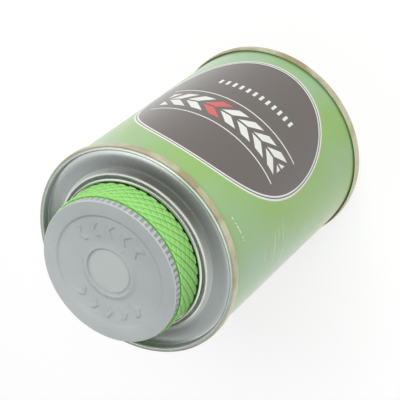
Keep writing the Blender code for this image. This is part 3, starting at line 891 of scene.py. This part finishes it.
class TIN_OT_neck(bpy.types.Operator):
    """Turn the neck with its curled rim, lip, flared foot and crimped flange, and roll its thread"""

    bl_idname = "tin.neck"
    bl_label = "Neck"

    def execute(self, context):
        sizes = context.scene.tin_sizes
        colours = context.scene.tin_colours
        sheet = sizes.end_sheet
        top = NECK_HIGH.z
        foot = NECK_LOW.z
        curl = 0.55 * MM
        lip = 0.6 * MM
        plate_top = sizes.lip_top - 0.7 * MM
        lip_foot = sizes.shoulder_top + 0.3 * MM
        flare_foot = sizes.lip_top - 3.45 * MM
        throat = sizes.collar_hole - 0.3 * MM
        flange = sizes.neck_radius + 2.6 * MM
        root = sizes.neck_radius
        neck = draw_outline("screw_neck", [
            (sizes.neck_bore, top, 0.24 * MM),
            (root + curl, top, 0.4 * MM),
            (root + curl, top - 0.8 * MM, 0.2 * MM),
            (root, top - 1.3 * MM, 0.2 * MM),
            (root, plate_top, 0.4 * MM),
            (sizes.lip_radius - lip, plate_top, 0.2 * MM),
            (sizes.lip_radius - lip, sizes.lip_top, 0.08 * MM),
            (sizes.lip_radius - 0.35 * MM, sizes.lip_top, 0.08 * MM),
            (sizes.lip_radius, sizes.lip_top - 0.56 * MM, 0.1 * MM),
            (sizes.lip_radius + 0.3 * MM, flare_foot + 1.75 * MM, 0.3 * MM),
            (sizes.lip_radius + 0.7 * MM, flare_foot + 1.0 * MM, 0.3 * MM),
            (sizes.lip_radius + 1.3 * MM, flare_foot + 0.45 * MM, 0.3 * MM),
            (sizes.flare_radius, flare_foot, 0.0),
            (sizes.flare_radius - 0.15 * MM, flare_foot + 0.01 * MM, 0.0),
            (sizes.lip_radius + 1.2 * MM, flare_foot + 0.25 * MM, 0.0),
            (sizes.lip_radius + 0.4 * MM, flare_foot + 0.95 * MM, 0.0),
            (sizes.lip_radius - sheet, lip_foot + 0.3 * MM, 0.0),
            (sizes.lip_radius - sheet, plate_top - sheet, 0.0),
            (throat, plate_top - sheet, 0.0),
            (throat, foot + sheet, 0.0),
            (flange, foot + sheet, 0.1 * MM),
            (flange, foot, 0.1 * MM),
            (sizes.neck_bore, foot, 0.3 * MM),
        ])
        wall_low = plate_top + 0.5 * MM
        wall_high = top - 1.6 * MM
        wall_cuts = 40
        wall = root + 0.1 * MM
        divide(neck, wall_cuts, lambda middle: wall_low < middle.z < wall_high and middle.x < wall)
        turn(neck, WALL_STEPS)

        def roll_thread(radius, angle, height):
            on_wall = radius < root + 0.01 * MM and wall_low < height < wall_high + 1.0 * MM
            rise = sizes.neck_thread * thread_share(sizes, angle, height, 0.0) if on_wall else 0.0
            return radius + rise, height

        reshape(neck, roll_thread)
        # The neck is bare all over, so the lacquer would start far outside it
        beyond_neck = 2.0 * sizes.lip_radius
        finish = bare_tinplate("bright_tinplate", colours.neck_tin, colours, beyond_neck)
        finish_piece(neck, finish, "can", "threaded_neck")
        return {"FINISHED"}


class TIN_OT_cap(bpy.types.Operator):
    """Press the cap: sunk face with a raised ring and chevrons, ribbed edge and threaded skirt"""

    bl_idname = "tin.cap"
    bl_label = "Cap"

    def execute(self, context):
        sizes = context.scene.tin_sizes
        top = CAP_HIGH.z
        foot = CAP_LOW.z
        field = top - sizes.field_depth
        underside = field - sizes.cap_sheet
        dish = top - 0.4 * MM
        slope = 0.55 * MM
        ring_slope = 1.2 * MM
        ring_top = sizes.boss_radius - ring_slope
        groove = ring_top - 0.65 * MM
        groove_foot = top - 0.85 * MM
        rim = 0.35 * MM
        rib_top = top - 0.4 * MM
        ledge = BAND_HIGH.z + 0.3 * MM
        rib_foot = ledge + 0.3 * MM
        boss = sizes.boss_radius
        cap = draw_outline("pressed_cap", [
            (0.0, dish + 0.1 * MM, 0.0),
            (groove - 0.8 * MM, dish, 0.25 * MM),
            (groove - 0.4 * MM, groove_foot, 0.08 * MM),
            (groove - 0.2 * MM, groove_foot, 0.08 * MM),
            (groove + 0.1 * MM, top - 0.05 * MM, 0.25 * MM),
            (ring_top, top, 0.4 * MM),
            (boss, field, 0.6 * MM),
            (sizes.step_radius - slope, field, 0.4 * MM),
            (sizes.step_radius, top, 0.35 * MM),
            (sizes.cap_radius, top, rim),
            (sizes.cap_radius, rib_top, 0.0),
            (sizes.cap_radius, rib_foot, 0.0),
            (sizes.cap_radius, ledge, 0.12 * MM),
            (sizes.cap_seat, ledge, 0.0),
            (sizes.cap_seat, foot, 0.2 * MM),
            (sizes.cap_bore, foot, 0.2 * MM),
            (sizes.cap_bore, underside, 0.3 * MM),
            (0.0, underside, 0.0),
        ], closed=False)
        field_cuts = 36
        wall_cuts = 36
        field_in = boss + 1.0 * MM
        field_out = sizes.step_radius - 2.0 * MM
        divide(cap, field_cuts, lambda middle: field_in < middle.x < field_out and middle.z > underside)
        bore = sizes.cap_bore + 0.1 * MM
        bore_low = foot + 1.0 * MM
        bore_high = underside - 1.0 * MM
        divide(cap, wall_cuts, lambda middle: middle.x < bore and bore_low < middle.z < bore_high)
        steps = sizes.rib_count * CAP_STEPS_PER_RIB
        turn(cap, steps)

        def in_groove(middle):
            place = round(atan2(middle.y, middle.x) / (2.0 * pi) * steps) % CAP_STEPS_PER_RIB
            on_edge = hypot(middle.x, middle.y) > sizes.cap_radius - 0.05 * MM
            return on_edge and place < CAP_STEPS_PER_RIB // 2 and ledge < middle.z < rib_top + 0.01 * MM

        bpy.ops.object.mode_set(mode="EDIT")
        pick(cap, "verts", in_groove)
        shrink = 1.0 - sizes.rib_depth / sizes.cap_radius
        bpy.ops.transform.resize(value=(shrink, shrink, 1.0), center_override=(0.0, 0.0, 0.0))
        bpy.ops.object.mode_set(mode="OBJECT")

        def emboss_and_thread(radius, angle, height):
            if height > underside + 0.2 * MM and boss < radius < sizes.step_radius - slope:
                return radius, height + sizes.emboss * chevron_share(sizes, radius, angle)
            if radius < sizes.cap_bore + 0.01 * MM and foot + 0.3 * MM < height < underside - 0.4 * MM:
                return radius - sizes.cap_thread * thread_share(sizes, angle, height, pi), height
            return radius, height

        reshape(cap, emboss_and_thread)
        finish_piece(cap, cap_enamel(context.scene.tin_colours, sizes), "cap", "cap_shell")
        return {"FINISHED"}


class TIN_OT_band(bpy.types.Operator):
    """Mould the knurled band round the cap's skirt"""

    bl_idname = "tin.band"
    bl_label = "Band"

    def execute(self, context):
        sizes = context.scene.tin_sizes
        outer = BAND_HIGH.x
        inner = sizes.cap_seat + 0.3 * MM
        top = BAND_HIGH.z
        foot = BAND_LOW.z
        edge = 0.3 * MM
        band = draw_outline("knurled_band", [
            (outer, top, edge),
            (outer, foot, edge),
            (inner, foot, 0.0),
            (inner, top, 0.0),
        ])
        wall_cuts = 40
        wall = outer - 0.1 * MM
        divide(band, wall_cuts, lambda middle: middle.x > wall and foot + edge < middle.z < top - edge)
        turn(band, BAND_STEPS)
        serration = 0.22 * MM

        def knurl(radius, angle, height):
            groove = 1.0 - band_ridge(sizes, angle, height)
            depth = smooth_step((radius - inner) / (outer - inner) * 1.3)
            near_top = smooth_step((height - top + 3.0 * edge) / (2.0 * edge))
            near_foot = smooth_step((foot + 3.0 * edge - height) / (2.0 * edge))
            shift = serration * depth * groove * (near_foot - near_top)
            return radius - sizes.band_relief * depth * groove, height + shift

        # The ridge share is kept as an attribute, so that the finish can paint the ridges lighter and the
        # grooves darker as light and shade
        ridges = [
            band_ridge(sizes, atan2(vertex.co.y, vertex.co.x), vertex.co.z)
            if hypot(vertex.co.x, vertex.co.y) > outer - edge else 0.0
            for vertex in band.data.vertices
        ]
        reshape(band, knurl)
        ridge = band.data.attributes.new("ridge", "FLOAT", "POINT")
        ridge.data.foreach_set("value", ridges)
        finish = band_plastic(context.scene.tin_colours)
        finish_piece(band, finish, "cap", "grip_band", crease=60.0)
        return {"FINISHED"}


class TIN_OT_liner(bpy.types.Operator):
    """Cut the sealing liner, with the ring that the neck's rim has pressed into it"""

    bl_idname = "tin.liner"
    bl_label = "Liner"

    def execute(self, context):
        sizes = context.scene.tin_sizes
        outer = LINER_HIGH.x
        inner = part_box("brush_socket")[1].x + 0.9 * MM
        low = LINER_LOW.z
        high = LINER_HIGH.z
        press = 0.12 * MM
        mark_in = sizes.neck_bore - 0.1 * MM
        mark_out = sizes.neck_radius + 0.6 * MM
        liner = draw_outline("pulpboard_liner", [
            (outer, high, 0.06 * MM),
            (outer, low, 0.06 * MM),
            (mark_out, low, 0.05 * MM),
            (mark_out - press, low + press, 0.05 * MM),
            (mark_in + press, low + press, 0.05 * MM),
            (mark_in, low, 0.05 * MM),
            (inner, low, 0.06 * MM),
            (inner, high, 0.06 * MM),
        ])
        turn(liner, WALL_STEPS)
        finish_piece(liner, pulpboard(context.scene.tin_colours), "liner", "cap_liner")
        return {"FINISHED"}


class TIN_OT_brush_metal(bpy.types.Operator):
    """Make the brush's flanged socket, twisted wire stem and crimped ferrule"""

    bl_idname = "tin.brush_metal"
    bl_label = "Brush Metal"

    def execute(self, context):
        steel = plated_steel(context.scene.tin_colours)
        self.make_socket(steel)
        self.make_stem(steel)
        self.make_ferrule(steel)
        return {"FINISHED"}

    def make_socket(self, steel):
        """Flange and socket, with two rolled crimps that grip the stem."""
        flange = SOCKET_HIGH.x
        top = SOCKET_HIGH.z
        foot = SOCKET_LOW.z
        sheet = 0.7 * MM
        outer = 3.0 * MM
        bore = STEM_HIGH.x + 0.3 * MM
        end = top - 2.0 * sheet
        crimp = 0.35 * MM
        corners = [
            (0.0, top, 0.0),
            (flange, top, 0.25 * MM),
            (flange, top - sheet, 0.25 * MM),
            (outer, top - sheet, 0.6 * MM),
        ]
        for height in (foot + 4.6 * MM, foot + 2.4 * MM):
            corners += [
                (outer, height + 2.0 * crimp, 0.2 * MM),
                (outer - crimp, height, 0.3 * MM),
                (outer, height - 2.0 * crimp, 0.2 * MM),
            ]
        corners += [
            (outer, foot, 0.3 * MM),
            (bore, foot, 0.2 * MM),
            (bore, end, 0.0),
            (0.0, end, 0.0),
        ]
        socket = draw_outline("flanged_socket", corners, closed=False)
        turn(socket, SMALL_STEPS)
        finish_piece(socket, steel, "brush", "brush_socket")

    def make_stem(self, steel):
        """Two wires twisted together."""
        wire = STEM_HIGH.x / 2.0
        low = STEM_LOW.z
        high = STEM_HIGH.z
        pitch = 11.0 * MM
        wire_sides = 16
        wire_cuts = 110
        slack = 0.99
        half_way = (low + high) / 2.0
        clear_selection()
        bpy.ops.mesh.primitive_cylinder_add(
            vertices=wire_sides, radius=wire * slack, depth=high - low, location=(wire, 0.0, half_way)
        )
        stem = bpy.context.object
        stem.name = "twisted_stem"
        stem.data.name = "twisted_stem"
        bpy.ops.object.transform_apply(location=True, rotation=True, scale=True)
        bpy.ops.object.mode_set(mode="EDIT")
        pick(stem, "faces", lambda middle: min(middle.z - low, high - middle.z) < 0.1 * MM)
        bpy.ops.mesh.bevel(offset=0.2 * MM, segments=2, affect="EDGES")
        divide(stem, wire_cuts, lambda middle: abs(middle.z - half_way) < 0.1 * MM)
        bpy.ops.mesh.select_all(action="SELECT")
        bpy.ops.mesh.duplicate()
        bpy.ops.transform.rotate(value=pi, orient_axis="Z", center_override=(0.0, 0.0, 0.0))
        bpy.ops.object.mode_set(mode="OBJECT")
        apply_modifier(
            stem, "twist", "SIMPLE_DEFORM", deform_method="TWIST", deform_axis="Z",
            angle=2.0 * pi * (high - low) / pitch,
        )
        finish_piece(stem, steel, "brush", "brush_stem")

    def make_ferrule(self, steel):
        """Tube with a tapered throat and two crimped grooves that hold the bristles."""
        low = FERRULE_LOW.z
        high = FERRULE_HIGH.z
        outer = FERRULE_HIGH.x
        sheet = 0.4 * MM
        throat = STEM_HIGH.x + 0.3 * MM
        throat_low = high - 3.0 * MM
        shoulder = throat_low - 5.0 * MM
        crimp = 0.22 * MM
        grooves = [low + 3.2 * MM, low + 5.0 * MM]

        def tube_wall(radius, heights):
            corners = []
            for height in heights:
                side = 0.7 * MM if heights[0] < heights[-1] else -0.7 * MM
                corners += [
                    (radius, height - side, 0.3 * MM),
                    (radius - crimp, height, 0.4 * MM),
                    (radius, height + side, 0.3 * MM),
                ]
            return corners

        corners = [
            (throat + sheet, high, 0.12 * MM),
            (throat + sheet, throat_low, 1.0 * MM),
            (outer, shoulder, 1.2 * MM),
        ]
        corners += tube_wall(outer, grooves[::-1])
        corners += [(outer, low, 0.15 * MM), (outer - sheet, low, 0.1 * MM)]
        corners += tube_wall(outer - sheet, grooves)
        corners += [
            (outer - sheet, shoulder, 1.0 * MM),
            (throat, throat_low, 1.0 * MM),
            (throat, high, 0.12 * MM),
        ]
        ferrule = draw_outline("crimped_ferrule", corners)
        turn(ferrule, SMALL_STEPS)
        finish_piece(ferrule, steel, "brush", "brush_ferrule")


class TIN_OT_bristles(bpy.types.Operator):
    """Fill the ferrule with bristles that flare a little below it"""

    bl_idname = "tin.bristles"
    bl_label = "Bristles"

    def execute(self, context):
        draws = random.Random(11)
        count = 430
        strand_sides = 5
        strand_cuts = 5
        tip_radius = 0.05 * MM
        root_radius = 0.11 * MM
        low = TUFT_LOW.z
        high = TUFT_HIGH.z
        mouth = FERRULE_LOW.z
        tube = FERRULE_HIGH.x - 0.75 * MM
        flare = TUFT_HIGH.x - 0.35 * MM
        clear_selection()
        bpy.ops.mesh.primitive_cone_add(
            vertices=strand_sides, radius1=tip_radius, radius2=root_radius, depth=1.0,
            location=(0.0, 0.0, 0.5),
        )
        tuft = bpy.context.object
        tuft.name = "bristle_tuft"
        tuft.data.name = "bristle_tuft"
        bpy.ops.object.transform_apply(location=True, rotation=True, scale=True)
        bpy.ops.object.mode_set(mode="EDIT")
        divide(tuft, strand_cuts, lambda middle: abs(middle.z - 0.5) < 0.1)
        bpy.ops.object.mode_set(mode="OBJECT")
        strand = tuft.data.copy()
        golden = pi * (3.0 - sqrt(5.0))
        shape = bmesh.new()
        for index in range(count):
            spread = sqrt((index + 0.5) / count)
            angle = golden * index
            tip = low + (0.3 + 2.6 * spread ** 3 + draws.uniform(0.0, 1.2)) * MM
            lean = draws.uniform(-0.012, 0.012)
            start = len(shape.verts)
            shape.from_mesh(strand)
            shape.verts.ensure_lookup_table()
            for vertex in shape.verts[start:]:
                height = tip + (high - tip) * vertex.co.z
                below = max(0.0, (mouth - height) / (mouth - low))
                radius = spread * (tube + (flare - tube) * smooth_step(below))
                turned = angle + lean * below
                vertex.co.x += radius * cos(turned)
                vertex.co.y += radius * sin(turned)
                vertex.co.z = height
        shape.to_mesh(tuft.data)
        shape.free()
        bpy.data.meshes.remove(strand)
        finish = hog_bristle(context.scene.tin_colours)
        finish_piece(tuft, finish, "brush", "brush_bristles", crease=80.0)
        return {"FINISHED"}


class TIN_OT_cement(bpy.types.Operator):
    """Fill the can with cement, drawn up a little at the wall, with a well for the brush"""

    bl_idname = "tin.cement"
    bl_label = "Cement"

    def execute(self, context):
        outer = POOL_HIGH.x
        low = POOL_LOW.z
        top = POOL_HIGH.z
        well = TUFT_HIGH.x + 0.8 * MM
        well_floor = TUFT_LOW.z - 1.6 * MM
        climb = 0.9 * MM
        pool = draw_outline("cement_pool", [
            (0.0, well_floor, 0.0),
            (well, well_floor, 2.0 * MM),
            (well, top - climb, 1.4 * MM),
            (well + 4.0 * MM, top - 0.7 * climb, 1.5 * MM),
            (outer - 2.2 * MM, top - climb, 1.4 * MM),
            (outer, top, 0.0),
            (outer, low, 0.8 * MM),
            (0.0, low, 0.0),
        ], closed=False)
        turn(pool, WALL_STEPS)
        finish_piece(pool, rubber_cement(context.scene.tin_colours), "can", "cement_fill")
        return {"FINISHED"}


class TIN_OT_stage(bpy.types.Operator):
    """Set the pale floor, the soft studio light and the camera"""

    bl_idname = "tin.stage"
    bl_label = "Stage"

    def execute(self, context):
        stage = context.scene.tin_stage
        context.scene.view_settings.view_transform = "Standard"
        sight = Vector((0.0, -cos(stage.elevation), sin(stage.elevation)))
        self.add_camera(context, stage, sight)
        self.add_floor(stage)
        self.add_light(stage)
        self.add_world(context.scene)
        return {"FINISHED"}

    def add_camera(self, context, stage, sight):
        """Camera that looks down on the tin, rolled so that the tin lies along the picture's diagonal."""
        aim_aside = -0.7 * MM
        clear_selection()
        bpy.ops.object.camera_add()
        camera = context.object
        camera.data.lens = stage.lens
        camera.data.sensor_width = 36.0
        tilt = Matrix.Rotation(pi / 2.0 - stage.elevation, 4, "X")
        place = Vector((aim_aside, 0.0, stage.aim_height)) + sight * stage.distance
        camera.matrix_world = Matrix.Translation(place) @ tilt @ Matrix.Rotation(stage.roll, 4, "Z")
        context.scene.camera = camera

    def add_floor(self, stage):
        """Floor that reads as white and keeps a faint shadow."""
        floor_size = 6.0
        shadow_grey = (0.34, 0.34, 0.34, 1.0)
        glow_white = (1.0, 1.0, 1.0, 1.0)
        glow_strength = 0.72
        clear_selection()
        bpy.ops.mesh.primitive_plane_add(size=floor_size)
        ground = bpy.context.object
        ground.name = "studio_floor"
        material, tree = new_finish("white_paper_sweep")
        path = put(tree, PATH)
        seen = path.outputs["Is Camera Ray"]
        seen = put(tree, MATH, {0: seen, 1: path.outputs["Is Glossy Ray"]}, operation="MAXIMUM")
        seen = put(tree, MATH, {0: seen, 1: path.outputs["Is Transmission Ray"]}, operation="MAXIMUM")
        paper = put(tree, DIFFUSE, {"Color": stage.floor_white})
        shadow = put(tree, DIFFUSE, {"Color": shadow_grey})
        glow = put(tree, EMISSION, {"Color": glow_white, "Strength": glow_strength})
        white = put(tree, ADD_SHADER, {0: shadow, 1: glow})
        surface = put(tree, MIX_SHADER, {0: seen, 1: paper, 2: white})
        put(tree, OUTPUT, {"Surface": surface})
        ground.data.materials.append(material)

    def add_light(self, stage):
        """Softbox in front of the tin, flagged off so that the metal doesn't mirror it."""
        direction = Vector((0.32, -0.52, 0.77)).normalized()
        reach = 1.1
        width = 0.8
        height = 0.6
        clear_selection()
        bpy.ops.object.light_add(type="AREA")
        lamp = bpy.context.object
        lamp.name = "front_softbox"
        lamp.data.energy = stage.lamp_power
        lamp.data.shape = "RECTANGLE"
        lamp.data.size = width
        lamp.data.size_y = height
        lamp.location = direction * reach
        lamp.rotation_euler = direction.to_track_quat("Z", "Y").to_euler()
        lamp.visible_glossy = False

    def add_patch(self, tree, room, toward, start, full, colour):
        """Lay a soft round patch of colour on the room; start and full are cosines to its middle."""
        direction = put(tree, COORD).outputs["Generated"]
        facing = put(tree, VECTOR, {0: direction, 1: Vector(toward).normalized()}, operation="DOT_PRODUCT")
        share = put(tree, RANGE, {"Value": facing, "From Min": start, "From Max": full})
        return put(tree, MIX, {"Factor": share, "A": room, "B": colour}, data_type="RGBA")

    def add_world(self, scene):
        """Room that is white to the camera, and that the tin mirrors as a studio.

        The studio is pale, with an unlit side in front, a bright patch above, a pale strip near the
        horizon that only gloss shows, and one dark corner behind.
        """
        room_tint = (0.97, 1.0, 0.99)
        room_level = 0.54
        room_slope = (0.08, 0.02, 0.17)
        strip_low = 0.08
        strip_high = 0.32
        in_front = (0.35, -0.48, 0.81)
        above = (0.05, 0.545, 0.838)
        behind = (-0.3, 0.95, 0.1)
        unlit_side = (0.15, 0.153, 0.135, 1.0)
        bright_patch = (2.2, 2.2, 2.16, 1.0)
        pale_strip = (1.3, 1.3, 1.26, 1.0)
        dark_corner = (0.25, 0.26, 0.24, 1.0)
        white = (1.0, 1.0, 1.0, 1.0)
        world = bpy.data.worlds.new("studio_room")
        scene.world = world
        world.use_nodes = True
        tree = world.node_tree
        tree.nodes.clear()
        path = put(tree, PATH)
        direction = put(tree, COORD).outputs["Generated"]
        upward = put(tree, VECTOR, {0: direction, 1: room_slope}, operation="DOT_PRODUCT")
        level = put(tree, MATH, {0: upward, 1: room_level}, operation="ADD")
        room = put(tree, VECTOR, {0: room_tint, "Scale": level}, operation="SCALE")
        room = self.add_patch(tree, room, in_front, 0.22, 0.9, unlit_side)
        room = self.add_patch(tree, room, above, 0.984, 0.99, bright_patch)
        height = put(tree, XYZ, {0: direction}).outputs["Z"]
        low = put(tree, RANGE, {
            "Value": height, "From Min": strip_low, "From Max": strip_high, "To Min": 1.0, "To Max": 0.0,
        })
        low = put(tree, MATH, {0: low, 1: path.outputs["Is Glossy Ray"]}, operation="MULTIPLY")
        room = put(tree, MIX, {"Factor": low, "A": room, "B": pale_strip}, data_type="RGBA")
        room = self.add_patch(tree, room, behind, 0.84, 0.97, dark_corner)
        seen = path.outputs["Is Camera Ray"]
        room = put(tree, MIX, {"Factor": seen, "A": room, "B": white}, data_type="RGBA")
        background = put(tree, BACKGROUND, {"Color": room, "Strength": 1.0})
        put(tree, WORLD_OUTPUT, {"Surface": background})


class TIN_PT_pieces(bpy.types.Panel):
    """Lists the tin's settings and pieces"""

    bl_idname = "TIN_PT_pieces"
    bl_label = "Cement Tin"
    bl_space_type = "VIEW_3D"
    bl_region_type = "UI"
    bl_category = "Cement Tin"

    def draw(self, context):
        column = self.layout.column()
        for group_name, group in GROUPS.items():
            for name in group.__annotations__:
                column.prop(getattr(context.scene, group_name), name)
        for operator in PIECES:
            column.operator(operator.bl_idname)


GROUPS = {"tin_sizes": TinSizes, "tin_print": TinPrint, "tin_colours": TinColours, "tin_stage": TinStage}
PIECES = (
    TIN_OT_stage, TIN_OT_can_wall, TIN_OT_can_ends, TIN_OT_seals, TIN_OT_neck, TIN_OT_cap, TIN_OT_band,
    TIN_OT_liner, TIN_OT_brush_metal, TIN_OT_bristles, TIN_OT_cement,
)


def register():
    """Register the classes and hang the properties on the scene."""
    for name, group in GROUPS.items():
        bpy.utils.register_class(group)
        setattr(bpy.types.Scene, name, PointerProperty(type=group))
    for operator in PIECES:
        bpy.utils.register_class(operator)
    bpy.utils.register_class(TIN_PT_pieces)


def unregister():
    """Take the properties and classes away again."""
    bpy.utils.unregister_class(TIN_PT_pieces)
    for operator in reversed(PIECES):
        bpy.utils.unregister_class(operator)
    for name, group in GROUPS.items():
        delattr(bpy.types.Scene, name)
        bpy.utils.unregister_class(group)


def main():
    """Build the finished tin."""
    register()
    bpy.ops.tin.stage()
    bpy.ops.tin.can_wall()
    bpy.ops.tin.can_ends()
    bpy.ops.tin.seals()
    bpy.ops.tin.neck()
    bpy.ops.tin.cap()
    bpy.ops.tin.band()
    bpy.ops.tin.liner()
    bpy.ops.tin.brush_metal()
    bpy.ops.tin.bristles()
    bpy.ops.tin.cement()


if __name__ == "__main__":
    main()
